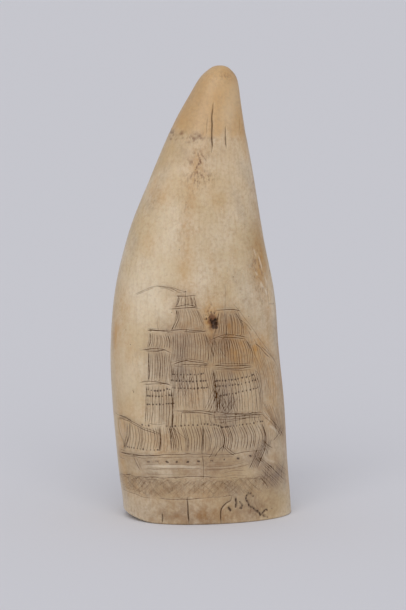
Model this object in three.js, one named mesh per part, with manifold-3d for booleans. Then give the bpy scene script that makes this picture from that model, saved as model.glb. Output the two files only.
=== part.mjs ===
// Scrimshaw whale tooth: one sperm whale tooth, sawn flat across the root so that it stands upright,
// with the pulp cavity open underneath and a three-masted ship scored into its front face.
// Millimetres, +Z up, the engraved face towards -Y, the origin under the middle of the tooth's box.

import * as THREE from 'three';
import { mergeVertices } from 'three/addons/utils/BufferGeometryUtils.js';
import Module from 'manifold-3d';

const wasm = await Module();
wasm.setup();

// Driving dimensions of the tooth
const toothHeight = 150;
const toothWidth = 57.4;
const toothDepth = 39.2;
const tipDomeHeight = 8.9;
const rimRound = 0.8;
const depthBow = 1.5;

// The pulp cavity, a cone that opens in the sawn root
const cavityWidth = 33;
const cavityDepth = 20;
const cavityHeight = 44;

// The worn corner at the left end of the root
const wornCornerWidth = 8.2;
const wornCornerRise = 2;
const wornCornerFade = 12;

// The graver's cuts, the age cracks and the decayed spots
const scoreWidth = 0.7;
const scoreDepth = 0.35;
const crackWidth = 0.7;
const crackDepth = 1.8;
const pitWidth = 2.9;
const pitHeight = 4.2;
const pitDepth = 1.5;
const chipWidth = 4.2;
const chipHeight = 2.6;
const chipDepth = 1.4;

// The mesh: sides of each ring, and rings of each stretch
const ringSides = 48;
const wallRings = 22;
const domeRings = 5;
const cavityRings = 7;
const rimSteps = 2;

// The form, from root to tip at even heights, as shares of the tooth's half width and half depth
const axisShares = [0.08, 0.016, -0.035, -0.08, -0.082, -0.066, 0.001, 0.087, 0.22];
const widthShares = [0.98, 0.99, 1, 0.979, 0.928, 0.789, 0.61, 0.412, 0.209];
const depthShares = [0.97, 0.995, 1, 0.975, 0.92, 0.81, 0.665, 0.495, 0.3];
const ovalPower = 2.15;       // 2 is an ellipse, and more is squarer
const eggShare = 0.08;        // how much thicker the convex side is than the concave side
const domePower = 3.55;       // the higher it is, the blunter the tip
const cavityPower = 0.8;      // below 1 the cavity is a cone with full sides
const cavityCrowding = 1.3;   // above 1 its rings crowd towards the mouth
const wornPower = 1.5;        // how sharply the worn corner turns up
const pictureTurn = THREE.MathUtils.degToRad(-9);    // the engraved face looks a little to the left

// A smooth curve through values at even steps, read at a share of its length
function smoothThrough(values) {
  const curve = new THREE.SplineCurve(values.map((value, i) => new THREE.Vector2(i, value)));
  return (share) => curve.getPoint(THREE.MathUtils.clamp(share, 0, 1)).y;
}

const axisAt = smoothThrough(axisShares);
const widthAt = smoothThrough(widthShares);
const depthAt = smoothThrough(depthShares);

// How much of its full section the tooth has near the tip, where a dome closes it
function domeShare(z) {
  const into = (z - (toothHeight - tipDomeHeight)) / tipDomeHeight;
  return into <= 0 ? 1 : Math.sqrt(Math.max(0, 1 - into ** domePower));
}

// The oval section at a height: its centre and half sizes
function sectionAt(z) {
  const share = z / toothHeight;
  return {
    x: axisAt(share) * toothWidth / 2,
    y: -depthBow * Math.sin(Math.PI * share),
    halfWidth: widthAt(share) * toothWidth / 2 * domeShare(z),
    halfDepth: depthAt(share) * toothDepth / 2 * domeShare(z),
  };
}

// A point at an angle on an oval, pulled in by an inset
function ovalPoint(section, angle, z, inset = 0) {
  const power = (value) => Math.sign(value) * Math.abs(value) ** (2 / ovalPower);
  const across = power(Math.cos(angle));
  const along = power(Math.sin(angle)) * (1 - eggShare * across);
  return new THREE.Vector3(
    section.x + across * (section.halfWidth - inset),
    section.y + along * (section.halfDepth - inset),
    z,
  );
}

// The left end of the root is worn away: what lies there near the base is lifted, less and less with height
function wornPoint(point) {
  const root = sectionAt(0);
  const wearStart = root.x - root.halfWidth + wornCornerWidth;
  const into = Math.max(0, wearStart - point.x) / wornCornerWidth;
  const fade = Math.max(0, 1 - point.z / wornCornerFade);
  return new THREE.Vector3(point.x, point.y, point.z + wornCornerRise * into ** wornPower * fade);
}

function wallPoint(z, angle) {
  return wornPoint(ovalPoint(sectionAt(z), angle, z));
}

// The cavity's oval at a height, which follows the tooth's axis and closes towards its top
function cavitySection(z) {
  const left = Math.max(0, 1 - z / cavityHeight) ** cavityPower;
  const section = sectionAt(z);
  return { x: section.x, y: section.y, halfWidth: cavityWidth / 2 * left, halfDepth: cavityDepth / 2 * left };
}

// All rings of the tooth in order, from the top of the cavity, out under the root and up to the tip
function toothRings() {
  const ring = (pointAt) => Array.from({ length: ringSides }, (_, i) => pointAt(2 * Math.PI * i / ringSides));
  const rings = [];
  for (let i = 1; i <= cavityRings; i += 1) {
    const z = cavityHeight * (1 - i / cavityRings) ** cavityCrowding;
    rings.push(ring((angle) => wornPoint(ovalPoint(cavitySection(z), angle, z))));
  }
  for (let i = 0; i < rimSteps; i += 1) {
    const turn = Math.PI / 2 * i / rimSteps;
    const z = rimRound * (1 - Math.cos(turn));
    const inset = rimRound * (1 - Math.sin(turn));
    rings.push(ring((angle) => wornPoint(ovalPoint(sectionAt(z), angle, z, inset))));
  }
  const wallTop = toothHeight - tipDomeHeight;
  for (let i = 0; i <= wallRings; i += 1) {
    const z = rimRound + (wallTop - rimRound) * i / wallRings;
    rings.push(ring((angle) => wallPoint(z, angle)));
  }
  for (let i = 1; i < domeRings; i += 1) {
    const z = wallTop + tipDomeHeight * Math.sin(Math.PI / 2 * i / domeRings);
    rings.push(ring((angle) => wallPoint(z, angle)));
  }
  return rings;
}

// A closed skin over rings of equal length, with a point at each end
function skinOver(start, rings, end) {
  const sides = rings[0].length;
  const points = [start, ...rings.flat(), end];
  const indices = [];
  const last = points.length - 1;
  for (let side = 0; side < sides; side += 1) {
    const next = (side + 1) % sides;
    indices.push(0, 1 + next, 1 + side);
    for (let ring = 0; ring < rings.length - 1; ring += 1) {
      const low = 1 + ring * sides;
      const high = low + sides;
      indices.push(low + side, low + next, high + next, low + side, high + next, high + side);
    }
    const top = 1 + (rings.length - 1) * sides;
    indices.push(top + side, top + next, last);
  }
  const geometry = new THREE.BufferGeometry().setFromPoints(points);
  geometry.setIndex(indices);
  return geometry;
}

function toothGeometry() {
  const cavityTop = cavitySection(cavityHeight);
  const tip = sectionAt(toothHeight);
  return skinOver(
    new THREE.Vector3(cavityTop.x, cavityTop.y, cavityHeight),
    toothRings(),
    new THREE.Vector3(tip.x, tip.y, toothHeight),
  );
}

// Places on the engraved face are given as shares: across, from -1 to 1 of the tooth's half width as the
// face is looked at, and up, from 0 to 1 of its height.
const faceAcross = new THREE.Vector3(Math.cos(pictureTurn), Math.sin(pictureTurn), 0);

// The point of the wall that lies at those shares, found by halving the front of the ring until no angle
// is left between the two ends
function onFace(across, up) {
  const wanted = across * toothWidth / 2;
  const z = up * toothHeight;
  let left = Math.PI + pictureTurn;
  let right = 2 * Math.PI + pictureTurn;
  let middle = (left + right) / 2;
  while (left < middle && middle < right) {
    if (wallPoint(z, middle).dot(faceAcross) < wanted) left = middle;
    else right = middle;
    middle = (left + right) / 2;
  }
  return wallPoint(z, middle);
}

// The way out of the tooth at a point of its wall
function outwardAt(point) {
  const section = sectionAt(THREE.MathUtils.clamp(point.z, 0, toothHeight - tipDomeHeight));
  return new THREE.Vector3(
    (point.x - section.x) / section.halfWidth ** 2,
    (point.y - section.y) / section.halfDepth ** 2,
    0,
  ).normalize();
}

const endShare = 0.35;       // how much of its size a cut has left at its ends

// A wedge that follows points on the wall: the V of a graver or a crack, thinner towards both ends
function wedgeAlong(points, width, depth) {
  const stations = points.map((point, i) => {
    const before = points[Math.max(0, i - 1)];
    const after = points[Math.min(points.length - 1, i + 1)];
    const out = outwardAt(point);
    const side = new THREE.Vector3().subVectors(after, before).cross(out).normalize();
    const end = i === 0 || i === points.length - 1;
    const size = end ? endShare : 1;
    const top = point.clone().addScaledVector(out, depth);
    return [
      point.clone().addScaledVector(out, -depth * size),
      top.clone().addScaledVector(side, -width * size),
      top.clone().addScaledVector(side, width * size),
    ];
  });
  const indices = [0, 2, 1];
  for (let i = 0; i < stations.length - 1; i += 1) {
    for (let corner = 0; corner < 3; corner += 1) {
      const next = (corner + 1) % 3;
      const low = 3 * i;
      const high = low + 3;
      indices.push(low + corner, high + next, high + corner, low + corner, low + next, high + next);
    }
  }
  const last = 3 * (stations.length - 1);
  indices.push(last, last + 1, last + 2);
  const geometry = new THREE.BufferGeometry().setFromPoints(stations.flat());
  geometry.setIndex(indices);
  return geometry;
}

// A smooth line over the face through places given as [across, up]
function faceLine(places, steps) {
  const curve = new THREE.SplineCurve(places.map(([across, up]) => new THREE.Vector2(across, up)));
  return curve.getPoints(steps).map((place) => onFace(place.x, place.y));
}

// The ship: each mast has its foot and head as [across, up], and its yards as [up, half length]
const masts = [
  { foot: [-0.47, 0.16], head: [-0.525, 0.45],
    yards: [[0.215, 0.2], [0.307, 0.178], [0.38, 0.16], [0.423, 0.132]] },
  { foot: [0.02, 0.15], head: [-0.2, 0.535],
    yards: [[0.247, 0.262], [0.352, 0.235], [0.424, 0.205], [0.475, 0.162], [0.501, 0.112]] },
  { foot: [0.49, 0.155], head: [0.28, 0.52],
    yards: [[0.24, 0.272], [0.345, 0.238], [0.413, 0.225], [0.471, 0.125]] },
];
const sailGap = 0.006;        // between a sail's foot and the yard below it
const sailFullness = 0.02;    // how far a sail's side bows out
const sailHead = 0.86;        // how much of its own yard a sail takes up
const sailFoot = 0.92;        // and of the yard below it
const yardDroop = 0.004;      // how far a yard hangs at its ends
const mastSteps = 8;
const yardSteps = 4;
const sailSteps = 3;

function mastAt(mast, up) {
  const share = (up - mast.foot[1]) / (mast.head[1] - mast.foot[1]);
  return THREE.MathUtils.lerp(mast.foot[0], mast.head[0], share);
}

// The two sides of the sail that hangs from a yard down to the yard below it
function sailSides(mast, yard, below) {
  const lowUp = below[0] + sailGap;
  return [-1, 1].map((side) => {
    const high = mastAt(mast, yard[0]) + side * yard[1] * sailHead;
    const low = mastAt(mast, lowUp) + side * below[1] * sailFoot;
    const middle = (high + low) / 2 + side * sailFullness;
    return [[high, yard[0]], [middle, (yard[0] + lowUp) / 2], [low, lowUp]];
  });
}

function riggingLines() {
  return masts.flatMap((mast) => [
    faceLine([mast.foot, mast.head], mastSteps),
    ...mast.yards.map(([up, half]) => {
      const centre = mastAt(mast, up);
      const low = up - yardDroop;
      return faceLine([[centre - half, low], [centre, up], [centre + half, low]], yardSteps);
    }),
    ...mast.yards.slice(1)
      .flatMap((yard, i) => sailSides(mast, yard, mast.yards[i]))
      .map((side) => faceLine(side, sailSteps)),
  ]);
}

// The rest of the picture, each line with the number of its steps
const pictureLines = {
  sheer: { steps: 14, places: [[-0.86, 0.163], [-0.45, 0.148], [0, 0.145], [0.4, 0.149], [0.66, 0.158]] },
  stern: { steps: 4, places: [[-0.79, 0.146], [-0.76, 0.122], [-0.68, 0.103]] },
  bow: { steps: 4, places: [[0.54, 0.104], [0.66, 0.124], [0.72, 0.153]] },
  bowsprit: { steps: 5, places: [[0.6, 0.152], [0.78, 0.168], [0.93, 0.2]] },
  foreStay: { steps: 7, places: [[0.44, 0.455], [0.73, 0.38], [0.93, 0.2]] },
  jib: { steps: 6, places: [[0.72, 0.345], [0.86, 0.3], [0.8, 0.178]] },
  gaff: { steps: 5, places: [[-0.49, 0.197], [-0.72, 0.217], [-0.9, 0.236]] },
  spanker: { steps: 5, places: [[-0.9, 0.236], [-0.84, 0.195], [-0.9, 0.165]] },
  pennant: { steps: 6, places: [[-0.2, 0.53], [-0.42, 0.545], [-0.6, 0.535], [-0.8, 0.512]] },
  water: { steps: 14, places: [[-0.88, 0.103], [-0.45, 0.099], [0, 0.096], [0.45, 0.1], [0.84, 0.106]] },
  seaBed: { steps: 14, places: [[-0.84, 0.056], [-0.45, 0.052], [0, 0.05], [0.45, 0.053], [0.82, 0.058]] },
};

// Age cracks as [across, up] places. Those that start below the base split its edge.
const cracks = [
  [[-0.15, -0.006], [-0.145, 0.025], [-0.155, 0.051]],
  [[-0.45, -0.006], [-0.448, 0.019]],
  [[0.245, -0.006], [0.25, 0.02], [0.29, 0.036], [0.35, 0.042]],
  [[0.021, 0.199], [0.01, 0.163], [0.032, 0.139], [0.04, 0.118]],
  [[0.14, 0.925], [0.128, 0.875], [0.123, 0.823]],
  [[0.278, 0.885], [0.3, 0.822]],
  [[0.476, 0.885], [0.482, 0.835]],
];

// The decayed spots: the one between the masts, and the eaten edge low on the right
const spots = [
  { place: [0.13, 0.449], width: pitWidth, height: pitHeight, depth: pitDepth },
  { place: [0.65, 0.008], width: chipWidth, height: chipHeight, depth: chipDepth },
];
const spotSides = 10;
const spotRings = 6;
const splitSteps = 2;         // stations of a crack for each of its places

// A spot is cut by an ellipsoid that sits on the wall
function spotSolid({ place, width, height, depth }) {
  const point = onFace(...place);
  const spot = new THREE.SphereGeometry(1, spotSides, spotRings);
  spot.scale(width / 2, depth, height / 2);
  spot.rotateZ(Math.atan2(outwardAt(point).y, outwardAt(point).x) + Math.PI / 2);
  spot.translate(point.x, point.y, point.z);
  return spot;
}

const mergeReach = 1e-5;

function toSolid(geometry) {
  geometry.deleteAttribute('normal');
  geometry.deleteAttribute('uv');
  const merged = mergeVertices(geometry, mergeReach);
  return new wasm.Manifold(new wasm.Mesh({
    numProp: 3,
    vertProperties: new Float32Array(merged.attributes.position.array),
    triVerts: new Uint32Array(merged.index.array),
  }));
}

function toGeometry(solid) {
  const { vertProperties, triVerts } = solid.getMesh();
  const geometry = new THREE.BufferGeometry();
  geometry.setAttribute('position', new THREE.BufferAttribute(new Float32Array(vertProperties), 3));
  geometry.setIndex(new THREE.BufferAttribute(new Uint32Array(triVerts), 1));
  geometry.computeVertexNormals();
  return geometry;
}

function engravedTooth() {
  const outlines = Object.values(pictureLines).map(({ places, steps }) => faceLine(places, steps));
  const scores = [...riggingLines(), ...outlines].map((points) => wedgeAlong(points, scoreWidth, scoreDepth));
  const splits = cracks
    .map((places) => wedgeAlong(faceLine(places, splitSteps * places.length), crackWidth / 2, crackDepth));
  return [...scores, ...splits, ...spots.map(spotSolid)]
    .map(toSolid)
    .reduce((solid, cut) => solid.subtract(cut), toSolid(toothGeometry()));
}

const ivory = new THREE.MeshStandardMaterial({ color: 0xcdb994, roughness: 0.42, metalness: 0 });
const geometry = toGeometry(engravedTooth());
geometry.computeBoundingBox();
const { min, max } = geometry.boundingBox;
geometry.translate(-(min.x + max.x) / 2, -(min.y + max.y) / 2, -min.z);

const tooth = new THREE.Mesh(geometry, ivory);
tooth.name = 'tooth';

const scrimshaw = new THREE.Group();
scrimshaw.add(tooth);

export default scrimshaw;
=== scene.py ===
# A scrimshaw whale tooth: sawn flat across its root, polished by hand, and scored on the front with a
# full-rigged ship under sail. Metres, +Z up, the ship facing -Y. Lengths in the dictionaries are in mm.

import math

import bpy
import numpy as np
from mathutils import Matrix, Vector


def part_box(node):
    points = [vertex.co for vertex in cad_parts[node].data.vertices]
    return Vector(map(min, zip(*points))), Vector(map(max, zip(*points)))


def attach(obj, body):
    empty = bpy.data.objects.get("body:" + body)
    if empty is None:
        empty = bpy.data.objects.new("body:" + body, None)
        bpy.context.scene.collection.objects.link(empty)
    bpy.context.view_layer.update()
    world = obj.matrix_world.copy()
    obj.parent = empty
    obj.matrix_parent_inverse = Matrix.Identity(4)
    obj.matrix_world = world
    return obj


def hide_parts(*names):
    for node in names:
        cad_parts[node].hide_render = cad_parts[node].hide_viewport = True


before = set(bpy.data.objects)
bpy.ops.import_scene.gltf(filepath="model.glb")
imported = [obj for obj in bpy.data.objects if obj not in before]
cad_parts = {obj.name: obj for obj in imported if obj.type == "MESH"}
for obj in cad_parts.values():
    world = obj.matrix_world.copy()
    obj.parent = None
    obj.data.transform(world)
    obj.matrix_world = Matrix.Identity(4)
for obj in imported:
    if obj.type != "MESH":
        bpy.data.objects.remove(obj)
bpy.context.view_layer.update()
engraver = np.random.default_rng(1841)      # the unsteadiness of the hand that cut the ship

# The form of the tooth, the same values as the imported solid
toothForm = {
    "height": 150.0,
    "width": 57.4,
    "depth": 39.2,
    "axisShares": (0.08, 0.016, -0.035, -0.08, -0.082, -0.066, 0.001, 0.087, 0.22),
    "widthShares": (0.98, 0.99, 1, 0.979, 0.928, 0.789, 0.61, 0.412, 0.209),
    "depthShares": (0.97, 0.995, 1, 0.975, 0.92, 0.81, 0.665, 0.495, 0.3),
    "ovalPower": 2.15,
    "eggShare": 0.08,
    "depthBow": 1.5,
    "domeHeight": 8.9,
    "domePower": 3.55,
    "rimRound": 0.8,
    "cavityWidth": 33.0,
    "cavityDepth": 20.0,
    "cavityHeight": 44.0,
    "wornWidth": 8.2,
    "wornRise": 2.0,
    "wornFade": 12.0,
    "faceTurn": -9.0,          # degrees, the engraved face looks a little to the left
}

# How fine the mesh is: steps round the tooth and up it
toothMesh = {
    "frontStep": 0.215,
    "backStep": 1.5,
    "frontReach": 35.5,        # how far round from the middle of the face the fine columns go
    "frontFade": 4.5,
    "pictureTop": 82.0,
    "pictureStep": 0.46,
    "upperStep": 0.66,
    "domeRows": 14,
    "rimRows": 5,
    "sawnRows": 12,
    "cavityRows": 18,
}


# A smooth curve through values at even steps, read at shares of its length (Catmull-Rom cubics)
def smoothThrough(values, share):
    values = np.asarray(values, float)
    last = len(values) - 1
    place = last * np.clip(share, 0, 1)
    step = np.floor(place).astype(int)
    t = place - step
    before, start, end, after = (values[np.clip(step + k, 0, last)] for k in (-1, 0, 1, 2))
    slopeIn = (end - before) / 2
    slopeOut = (after - start) / 2
    return ((2 * start - 2 * end + slopeIn + slopeOut) * t**3
            + (3 * end - 3 * start - 2 * slopeIn - slopeOut) * t**2 + slopeIn * t + start)


# From 0 to 1 as value goes from low to high, by 3t^2 - 2t^3
def easeBetween(low, high, value):
    t = np.clip((value - low) / (high - low), 0, 1)
    return t * t * (3 - 2 * t)


# Smooth noise from 0 to 1: seeded random values on a lattice of cubes of this size, blended by 3t^2 - 2t^3
def cloudNoise(points, size, seed):
    lattice = np.random.default_rng(seed).random((32, 32, 32))
    scaled = points / np.asarray(size, float)
    corner = np.floor(scaled).astype(int)
    share = easeBetween(0, 1, scaled - corner)
    total = np.zeros(points.shape[:-1])
    for step in np.ndindex(2, 2, 2):
        weight = np.prod(np.where(step, share, 1 - share), axis=-1)
        i, j, k = np.moveaxis((corner + step) % 32, -1, 0)
        total += weight * lattice[i, j, k]
    return total


# The oval section at each height: centre, half width, half depth and height, one row each.
# centre and halves are the share curves times the driving sizes; the dome closes by sqrt(1 - into^power).
def wallSections(z):
    share = z / toothForm["height"]
    into = (z - toothForm["height"] + toothForm["domeHeight"]) / toothForm["domeHeight"]
    closing = np.sqrt(1 - np.clip(into, 0, 1) ** toothForm["domePower"])
    halfWidth = smoothThrough(toothForm["widthShares"], share) * toothForm["width"] / 2 * closing
    halfDepth = smoothThrough(toothForm["depthShares"], share) * toothForm["depth"] / 2 * closing
    x = smoothThrough(toothForm["axisShares"], share) * toothForm["width"] / 2
    y = -toothForm["depthBow"] * np.sin(np.pi * share)
    return np.stack([x, y, halfWidth, halfDepth, z], axis=1)


# The cavity's ovals: the same centres, with halves that close towards the top by (1 - z / height)^0.8
def cavitySections(z):
    sections = wallSections(z)
    closing = np.maximum(0, 1 - z / toothForm["cavityHeight"]) ** 0.8
    sections[:, 2] = toothForm["cavityWidth"] / 2 * closing
    sections[:, 3] = toothForm["cavityDepth"] / 2 * closing
    return sections


# Points on ovals: centre + half sizes times signed cos and sin raised to 2 / power, fuller on the right.
# The worn corner lifts what lies left of its start by rise * into^1.5, less and less with height.
def ringPoints(sections, angles):
    power = 2 / toothForm["ovalPower"]
    across = np.sign(np.cos(angles)) * np.abs(np.cos(angles)) ** power
    along = np.sign(np.sin(angles)) * np.abs(np.sin(angles)) ** power * (1 - toothForm["eggShare"] * across)
    x = sections[:, None, 0] + across * sections[:, None, 2]
    y = sections[:, None, 1] + along * sections[:, None, 3]
    z = np.broadcast_to(sections[:, None, 4], x.shape)
    root = wallSections(np.zeros(1))[0]
    into = np.maximum(0, root[0] - root[2] + toothForm["wornWidth"] - x) / toothForm["wornWidth"]
    lift = toothForm["wornRise"] * into**1.5 * np.maximum(0, 1 - z / toothForm["wornFade"])
    return np.stack([x, y, z + lift], axis=2)


# Angles of the columns, from the back round the left side, the face and the right side to the back again.
# They are spread so that the arc between two of them is frontStep on the face and backStep behind.
def columnAngles():
    turn = math.radians(toothForm["faceTurn"])
    faceAngle = 1.5 * math.pi + turn
    fine = np.linspace(faceAngle - math.pi, faceAngle + math.pi, 6001)
    ring = ringPoints(wallSections(np.array([50.0])), fine)[0]
    arc = np.concatenate([[0], np.cumsum(np.linalg.norm(np.diff(ring, axis=0), axis=1))])
    fromFace = np.abs(arc - arc[len(arc) // 2])
    behind = easeBetween(toothMesh["frontReach"], toothMesh["frontReach"] + toothMesh["frontFade"], fromFace)
    density = (1 - behind) / toothMesh["frontStep"] + behind / toothMesh["backStep"]
    count = np.concatenate([[0], np.cumsum((density[1:] + density[:-1]) / 2 * np.diff(arc))])
    columns = 8 * round(count[-1] / 8)
    return np.interp(np.arange(columns) / columns * count[-1], count, fine), faceAngle


# All rows of the tooth, from the top of the cavity, over the sawn root and its rim, up to the tip.
# Each has its section, its path up the surface (0 at the rim, below 0 on the sawn face), its kind and stride.
def toothRows():
    rim = toothForm["rimRound"]
    wallTop = toothForm["height"] - toothForm["domeHeight"]
    share = np.arange(1, toothMesh["cavityRows"]) / toothMesh["cavityRows"]
    cavity = cavitySections(toothForm["cavityHeight"] * (1 - share) ** 1.3)
    mouth = cavitySections(np.zeros(1))[0]
    root = wallSections(np.zeros(1))[0]
    inner = root - [0, 0, rim, rim, 0]
    share = np.arange(toothMesh["sawnRows"])[:, None] / toothMesh["sawnRows"]
    sawn = mouth + (inner - mouth) * share
    turn = np.arange(toothMesh["rimRows"]) / toothMesh["rimRows"] * math.pi / 2
    edge = wallSections(rim * (1 - np.cos(turn)))
    edge[:, 2:4] -= (rim * (1 - np.sin(turn)))[:, None]
    picture = np.linspace(rim, toothMesh["pictureTop"],
                          round((toothMesh["pictureTop"] - rim) / toothMesh["pictureStep"]))
    upper = np.linspace(toothMesh["pictureTop"], wallTop,
                        round((wallTop - toothMesh["pictureTop"]) / toothMesh["upperStep"]))[1:]
    dome = wallTop + toothForm["domeHeight"] * np.sin(
        np.arange(1, toothMesh["domeRows"]) / toothMesh["domeRows"] * math.pi / 2)
    wall = wallSections(np.concatenate([picture, upper, dome]))
    sections = np.concatenate([cavity, sawn, edge, wall])
    inset = (1 - share[:, 0]) * (inner[3] - mouth[3])
    path = np.concatenate([np.full(len(cavity), -inset[0]), -inset, edge[:, 4], wall[:, 4]])
    kind = np.repeat([0, 1, 2, 2], [len(cavity), len(sawn), len(edge), len(wall)])
    stride = np.repeat([4, 4, 1, 2, 4], [
        len(cavity), len(sawn), len(edge) + len(picture), len(upper), len(dome)])
    stride[len(cavity) + len(sawn)] = 2
    stride[len(cavity) + len(sawn) - 1] = 4
    return sections, path, kind, stride


print("tooth: form and grid")
angles, faceAngle = columnAngles()
sections, path, kind, stride = toothRows()
grid = ringPoints(sections, angles)
faceRight = np.array([math.cos(faceAngle + math.pi / 2), math.sin(faceAngle + math.pi / 2), 0])

# How far each grid point lies round its ring from the middle of the face, along the surface, in mm
steps = np.linalg.norm(np.diff(grid[:, :, :2], axis=1), axis=2)
around = np.concatenate([np.zeros((len(grid), 1)), np.cumsum(steps, axis=1)], axis=1)
faceColumn = int(np.argmin(np.abs(angles - faceAngle)))
around -= around[:, faceColumn:faceColumn + 1]


# Places written as across and up by turns, as rows of two
def placesOf(line):
    return np.asarray(line, float).reshape(-1, 2)


# Turns places seen on the face (across the view, up) into places on the unrolled wall (round it, up), by
# reading a table: at each height the face's half ring is laid out, and its length is read at each across.
unrollTop, unrollStep = 148, 2              # mm, the heights of the table
unrollTurns = 720                           # the steps along a half ring
unrollHeights = np.linspace(0, unrollTop, unrollTop // unrollStep + 1)
unrollAngles = np.linspace(faceAngle - math.pi / 2, faceAngle + math.pi / 2, unrollTurns + 1)
unrollRings = ringPoints(wallSections(unrollHeights), unrollAngles)
unrollAcross = unrollRings @ faceRight
unrollArc = np.concatenate([np.zeros((len(unrollHeights), 1)), np.cumsum(
    np.linalg.norm(np.diff(unrollRings[:, :, :2], axis=1), axis=2), axis=1)], axis=1)
unrollArc -= unrollArc[:, unrollTurns // 2, None]


def unroll(places):
    places = np.asarray(places, float)
    level = np.clip(places[:, 1], 0, unrollTop - 0.1) / unrollStep
    low = level.astype(int)
    share = level - low
    arcs = [np.array([np.interp(x, unrollAcross[row], unrollArc[row]) for x, row in zip(places[:, 0], rows)])
            for rows in (low, low + 1)]
    return np.stack([arcs[0] * (1 - share) + arcs[1] * share, places[:, 1]], axis=1)


sampleStep = 0.12                           # mm between the samples along a cut


# A cut of the graver or a crack: a smooth curve through a few places on the face, sampled at even steps.
# Each sample holds the place on the unrolled wall, the half width of the line, its strength and its heading.
def cut(places, width, strength, wobble=0.09, taper=0.1):
    places = unroll(placesOf(places))
    spans = np.linalg.norm(np.diff(places, axis=0), axis=1)
    count = max(4, round(spans.sum() / sampleStep))
    last = len(places) - 1
    knots = np.concatenate([[0], np.cumsum(spans)]) / spans.sum() * last
    share = np.interp(np.linspace(0, last, count), knots, np.arange(last + 1)) / last
    line = np.stack([smoothThrough(places[:, 0], share), smoothThrough(places[:, 1], share)], axis=1)
    waves = smoothThrough(engraver.normal(0, wobble, max(3, count // 16)), np.linspace(0, 1, count))
    heading = np.gradient(line, axis=0)
    heading /= np.linalg.norm(heading, axis=1, keepdims=True) + 1e-9
    line = line + waves[:, None] * heading[:, ::-1] * [1, -1]
    heading = np.gradient(line, axis=0)
    heading /= np.linalg.norm(heading, axis=1, keepdims=True) + 1e-9
    press = 0.7 + 0.45 * smoothThrough(engraver.random(max(3, count // 14)), np.linspace(0, 1, count))
    ends = np.clip(np.minimum(np.linspace(0, 1, count), np.linspace(1, 0, count)) / taper, 0.35, 1)
    return np.column_stack([line, width * (0.75 + 0.25 * ends), strength * press * ends, heading])


# Cuts side by side from a head line to a foot line, each bowed sideways by the parabola 4t(1 - t)
def hatching(head, foot, spacing, bow, strength, width, uneven=0.2):
    head, foot = placesOf(head), placesOf(foot)
    count = max(2, round(max(np.ptp(head[:, 0]), np.ptp(foot[:, 0])) / spacing) + 1)
    cuts = []
    for share in np.linspace(0, 1, count):
        share = np.clip(share + engraver.normal(0, uneven / count), 0, 1)
        top = np.array([smoothThrough(head[:, 0], share), smoothThrough(head[:, 1], share)])
        end = np.array([smoothThrough(foot[:, 0], share), smoothThrough(foot[:, 1], share)])
        top = top + (end - top) * engraver.uniform(0, 0.06)
        end = end + (top - end) * engraver.uniform(-0.02, 0.08)
        side = bow[0] + (bow[1] - bow[0]) * share
        middle = (top + end) / 2 + [side, 0]
        cuts.append(cut([top, middle, end], width, strength * engraver.uniform(0.76, 1.08)))
    return cuts


# Pricked dots along a line, such as reef points: their places on the unrolled wall and their reach
def dots(line, spacing=0.97, reach=0.31):
    line = placesOf(line)
    share = np.linspace(0, 1, max(2, round(np.linalg.norm(line[-1] - line[0]) / spacing) + 1))
    places = np.stack([smoothThrough(line[:, 0], share), smoothThrough(line[:, 1], share)], axis=1)
    places = unroll(places + engraver.normal(0, 0.07, places.shape))
    return np.column_stack([places, reach * engraver.uniform(0.75, 1.15, len(share))])


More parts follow.
